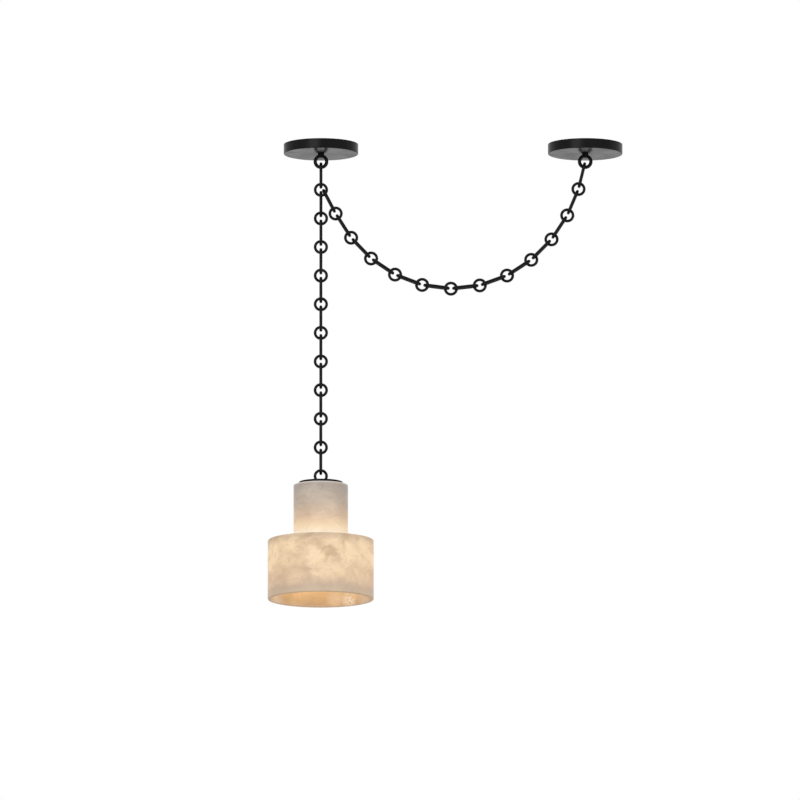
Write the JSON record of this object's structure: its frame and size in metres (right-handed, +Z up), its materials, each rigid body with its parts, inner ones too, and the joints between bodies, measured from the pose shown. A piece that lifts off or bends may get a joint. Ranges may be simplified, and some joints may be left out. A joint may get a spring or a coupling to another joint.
{
  "type": "alabaster pendant light",
  "caption": "Alabaster pendant light: a stepped stone shade, open below, hangs on a black ring-and-link chain that drops from one canopy and swags across to another.",
  "frame": {"origin": "centre of the left canopy on the ceiling plane", "axes": "+Z up to the ceiling, +X to the right canopy, the front faces -Y"},
  "size_m": [0.6035, 0.18, 0.7843],
  "materials": {
    "satin_black_metal": "satin black coating on steel",
    "zinc_plated_steel": "bright zinc plate",
    "brass": "plain brass",
    "white_plastic": "moulded, matte",
    "alabaster_neck": "honed alabaster, cloudy, translucent",
    "alabaster_drum": "honed alabaster, cloudy, translucent",
    "silicone": "clear-grey silicone",
    "black_plastic": "heat-proof moulding",
    "porcelain": "unglazed white",
    "nickel_plated_brass": "nickel plate",
    "frosted_glass": "frosted, lit warm white"
  },
  "bodies": {
    "ceiling": {"canopy_left": "satin_black_metal", "crossbar_left": "zinc_plated_steel", "canopy_nipple_left": "zinc_plated_steel", "canopy_loop_left": "satin_black_metal", "canopy_right": "satin_black_metal", "crossbar_right": "zinc_plated_steel", "canopy_nipple_right": "zinc_plated_steel", "canopy_loop_right": "satin_black_metal", "nipple_nuts": "zinc_plated_steel", "earth_screws": "brass", "terminal_block": "white_plastic"},
    "swag": {"link_01": "satin_black_metal", "junction_ring": "satin_black_metal", "swag_links": "satin_black_metal", "swag_rings": "satin_black_metal"},
    "link_02": {"link_02": "satin_black_metal"},
    "ring_02": {"ring_02": "satin_black_metal"},
    "link_03": {"link_03": "satin_black_metal"},
    "ring_03": {"ring_03": "satin_black_metal"},
    "link_04": {"link_04": "satin_black_metal"},
    "ring_04": {"ring_04": "satin_black_metal"},
    "link_05": {"link_05": "satin_black_metal"},
    "ring_05": {"ring_05": "satin_black_metal"},
    "link_06": {"link_06": "satin_black_metal"},
    "ring_06": {"ring_06": "satin_black_metal"},
    "link_07": {"link_07": "satin_black_metal"},
    "ring_07": {"ring_07": "satin_black_metal"},
    "link_08": {"link_08": "satin_black_metal"},
    "ring_08": {"ring_08": "satin_black_metal"},
    "link_09": {"link_09": "satin_black_metal"},
    "ring_09": {"ring_09": "satin_black_metal"},
    "link_10": {"link_10": "satin_black_metal"},
    "ring_10": {"ring_10": "satin_black_metal"},
    "link_11": {"link_11": "satin_black_metal"},
    "shade": {"cap_loop": "satin_black_metal", "cap_plate": "satin_black_metal", "cap_gasket": "silicone", "alabaster_neck": "alabaster_neck", "alabaster_drum": "alabaster_drum", "tie_tube": "zinc_plated_steel", "clamp_gasket": "silicone", "clamp_washer": "zinc_plated_steel", "tube_nut": "zinc_plated_steel", "holder_cap": "black_plastic", "holder_skirt": "black_plastic", "holder_insert": "porcelain", "screw_shell": "brass", "centre_contact": "brass", "lamp_cap": "nickel_plated_brass", "lamp_collar": "white_plastic", "lamp_globe": "frosted_glass"}
  },
  "joints": [
    {"name": "fixture_swing", "type": "hinge", "parent": "ceiling", "child": "swag", "pos_m": [0, 0, -0.0391], "axis": [1, 0, 0.0006], "range_deg": [-30, 30]},
    {"name": "link_02_sway", "type": "hinge", "parent": "swag", "child": "link_02", "pos_m": [0, 0, -0.0782], "axis": [0, 1, 0], "range_deg": [-1, 30]},
    {"name": "ring_02_rock", "type": "hinge", "parent": "link_02", "child": "ring_02", "pos_m": [0, 0, -0.1173], "axis": [1, 0, 0], "range_deg": [-30, 30]},
    {"name": "link_03_sway", "type": "hinge", "parent": "ring_02", "child": "link_03", "pos_m": [0, 0, -0.1276], "axis": [0, -1, 0], "range_deg": [-30, 30]},
    {"name": "ring_03_rock", "type": "hinge", "parent": "link_03", "child": "ring_03", "pos_m": [0, 0, -0.1667], "axis": [-1, 0, 0], "range_deg": [-30, 30]},
    {"name": "link_04_sway", "type": "hinge", "parent": "ring_03", "child": "link_04", "pos_m": [0, 0, -0.177], "axis": [0, 1, 0], "range_deg": [-30, 30]},
    {"name": "ring_04_rock", "type": "hinge", "parent": "link_04", "child": "ring_04", "pos_m": [0, 0, -0.2161], "axis": [1, 0, 0], "range_deg": [-30, 30]},
    {"name": "link_05_sway", "type": "hinge", "parent": "ring_04", "child": "link_05", "pos_m": [0, 0, -0.2264], "axis": [0, -1, 0], "range_deg": [-30, 30]},
    {"name": "ring_05_rock", "type": "hinge", "parent": "link_05", "child": "ring_05", "pos_m": [0, 0, -0.2655], "axis": [-1, 0, 0], "range_deg": [-30, 30]},
    {"name": "link_06_sway", "type": "hinge", "parent": "ring_05", "child": "link_06", "pos_m": [0, 0, -0.2758], "axis": [0, 1, 0], "range_deg": [-30, 30]},
    {"name": "ring_06_rock", "type": "hinge", "parent": "link_06", "child": "ring_06", "pos_m": [0, 0, -0.3149], "axis": [1, 0, 0], "range_deg": [-30, 30]},
    {"name": "link_07_sway", "type": "hinge", "parent": "ring_06", "child": "link_07", "pos_m": [0, 0, -0.3252], "axis": [0, -1, 0], "range_deg": [-30, 30]},
    {"name": "ring_07_rock", "type": "hinge", "parent": "link_07", "child": "ring_07", "pos_m": [0, 0, -0.3643], "axis": [-1, 0, 0], "range_deg": [-30, 30]},
    {"name": "link_08_sway", "type": "hinge", "parent": "ring_07", "child": "link_08", "pos_m": [0, 0, -0.3746], "axis": [0, 1, 0], "range_deg": [-30, 30]},
    {"name": "ring_08_rock", "type": "hinge", "parent": "link_08", "child": "ring_08", "pos_m": [0, 0, -0.4137], "axis": [1, 0, 0], "range_deg": [-30, 30]},
    {"name": "link_09_sway", "type": "hinge", "parent": "ring_08", "child": "link_09", "pos_m": [0, 0, -0.424], "axis": [0, -1, 0], "range_deg": [-30, 30]},
    {"name": "ring_09_rock", "type": "hinge", "parent": "link_09", "child": "ring_09", "pos_m": [0, 0, -0.4631], "axis": [-1, 0, 0], "range_deg": [-30, 30]},
    {"name": "link_10_sway", "type": "hinge", "parent": "ring_09", "child": "link_10", "pos_m": [0, 0, -0.4734], "axis": [0, 1, 0], "range_deg": [-30, 30]},
    {"name": "ring_10_rock", "type": "hinge", "parent": "link_10", "child": "ring_10", "pos_m": [0, 0, -0.5125], "axis": [1, 0, 0], "range_deg": [-30, 30]},
    {"name": "link_11_sway", "type": "hinge", "parent": "ring_10", "child": "link_11", "pos_m": [0, 0, -0.5228], "axis": [0, -1, 0], "range_deg": [-30, 30]},
    {"name": "alabaster_shade_swing", "type": "hinge", "parent": "link_11", "child": "shade", "pos_m": [0, 0, -0.5619], "axis": [-1, 0, 0], "range_deg": [-30, 30]}
  ]
}
